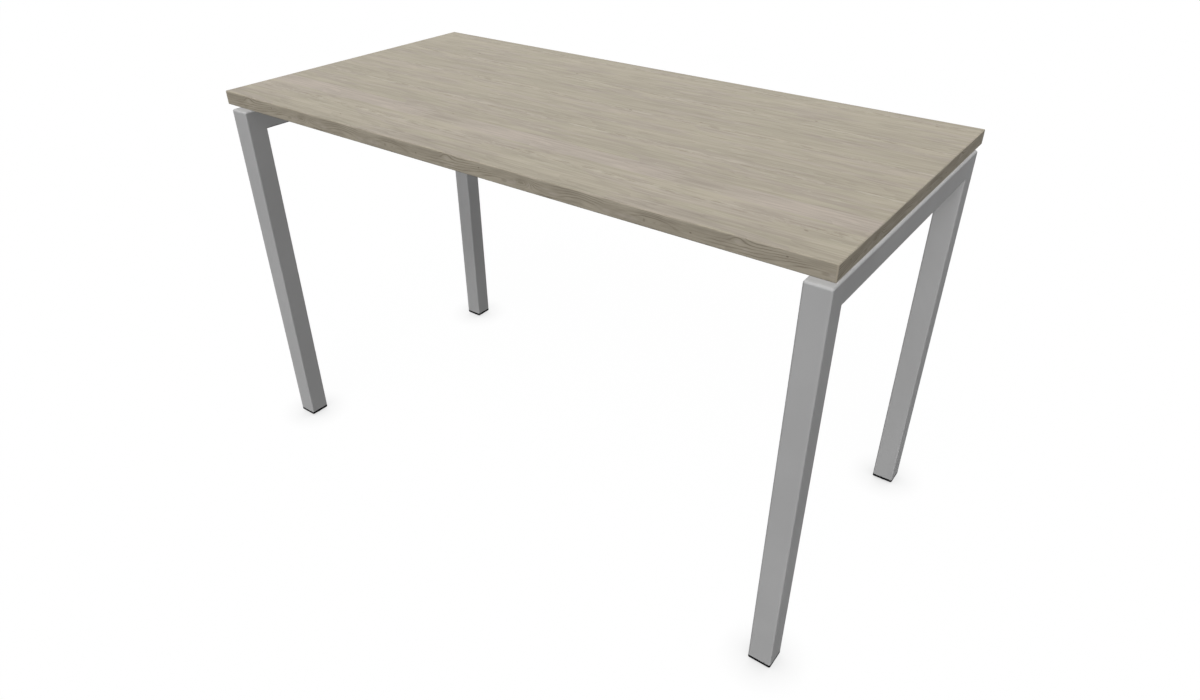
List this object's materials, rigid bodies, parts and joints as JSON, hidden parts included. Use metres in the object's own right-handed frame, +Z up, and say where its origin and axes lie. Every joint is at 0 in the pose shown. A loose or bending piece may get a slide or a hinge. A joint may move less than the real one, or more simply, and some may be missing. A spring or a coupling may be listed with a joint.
{
  "type": "office desk",
  "caption": "Rectangular office desk with a pale wood-grain top floating on spacers above square-tube steel end frames with levelling feet.",
  "frame": {"origin": "on the floor under the middle of the desktop", "axes": "+X along the desk to a sitter's right, +Y from the sitter's side to the back, +Z up"},
  "size_m": [1.2, 0.6, 0.738],
  "materials": {
    "grain_board": "matt wood-grain melamine",
    "grain_band": "matt printed edge band",
    "silver_paint": "satin powder coat",
    "black_plastic": "moulded",
    "zinc_steel": "zinc plated",
    "brass_insert": "turned"
  },
  "bodies": {
    "desk": {"desktop_board": "grain_board", "desktop_inserts": "brass_insert", "left_edge_band": "grain_band", "right_edge_band": "grain_band", "front_edge_band": "grain_band", "rear_edge_band": "grain_band", "left_crossbar": "silver_paint", "left_front_leg": "silver_paint", "left_rear_leg": "silver_paint", "right_crossbar": "silver_paint", "right_front_leg": "silver_paint", "right_rear_leg": "silver_paint", "front_beam": "silver_paint", "front_beam_left_plate": "silver_paint", "front_beam_right_plate": "silver_paint", "rear_beam": "silver_paint", "rear_beam_left_plate": "silver_paint", "rear_beam_right_plate": "silver_paint", "crossbar_screws": "zinc_steel", "beam_screws": "zinc_steel", "screw_washers": "zinc_steel", "beam_bolts": "zinc_steel", "beam_rivet_nuts": "zinc_steel", "crossbar_spacers": "black_plastic", "beam_spacers": "black_plastic", "left_front_leg_plug": "black_plastic", "left_front_plug_nut": "zinc_steel", "left_rear_leg_plug": "black_plastic", "left_rear_plug_nut": "zinc_steel", "right_front_leg_plug": "black_plastic", "right_front_plug_nut": "zinc_steel", "right_rear_leg_plug": "black_plastic", "right_rear_plug_nut": "zinc_steel"},
    "left_front_pad": {"left_front_foot_pad": "black_plastic"},
    "left_front_stem": {"left_front_foot_stem": "zinc_steel"},
    "left_rear_pad": {"left_rear_foot_pad": "black_plastic"},
    "left_rear_stem": {"left_rear_foot_stem": "zinc_steel"},
    "right_front_pad": {"right_front_foot_pad": "black_plastic"},
    "right_front_stem": {"right_front_foot_stem": "zinc_steel"},
    "right_rear_pad": {"right_rear_foot_pad": "black_plastic"},
    "right_rear_stem": {"right_rear_foot_stem": "zinc_steel"}
  },
  "joints": [
    {"name": "left_front_foot_slide", "type": "slide", "parent": "desk", "child": "left_front_pad", "axis": [0, 0, -1], "range_m": [0, 0.012]},
    {"name": "left_front_stem_turn", "type": "hinge", "parent": "left_front_pad", "child": "left_front_stem", "pos_m": [-0.5775, -0.277, 0.003], "axis": [0, 0, -1], "range_deg": [0, 3460]},
    {"name": "left_rear_foot_slide", "type": "slide", "parent": "desk", "child": "left_rear_pad", "axis": [0, 0, -1], "range_m": [0, 0.012]},
    {"name": "left_rear_stem_turn", "type": "hinge", "parent": "left_rear_pad", "child": "left_rear_stem", "pos_m": [-0.5775, 0.277, 0.003], "axis": [0, 0, -1], "range_deg": [0, 3460]},
    {"name": "right_front_foot_slide", "type": "slide", "parent": "desk", "child": "right_front_pad", "axis": [0, 0, -1], "range_m": [0, 0.012]},
    {"name": "right_front_stem_turn", "type": "hinge", "parent": "right_front_pad", "child": "right_front_stem", "pos_m": [0.5775, -0.277, 0.003], "axis": [0, 0, -1], "range_deg": [0, 3460]},
    {"name": "right_rear_foot_slide", "type": "slide", "parent": "desk", "child": "right_rear_pad", "axis": [0, 0, -1], "range_m": [0, 0.012]},
    {"name": "right_rear_stem_turn", "type": "hinge", "parent": "right_rear_pad", "child": "right_rear_stem", "pos_m": [0.5775, 0.277, 0.003], "axis": [0, 0, -1], "range_deg": [0, 3460]}
  ],
  "couplings": [
    {"joint": "left_front_stem_turn", "follows": "left_front_foot_slide", "rad_per_m": 5026.5},
    {"joint": "left_rear_stem_turn", "follows": "left_rear_foot_slide", "rad_per_m": 5026.5},
    {"joint": "right_front_stem_turn", "follows": "right_front_foot_slide", "rad_per_m": 5026.5},
    {"joint": "right_rear_stem_turn", "follows": "right_rear_foot_slide", "rad_per_m": 5026.5}
  ]
}
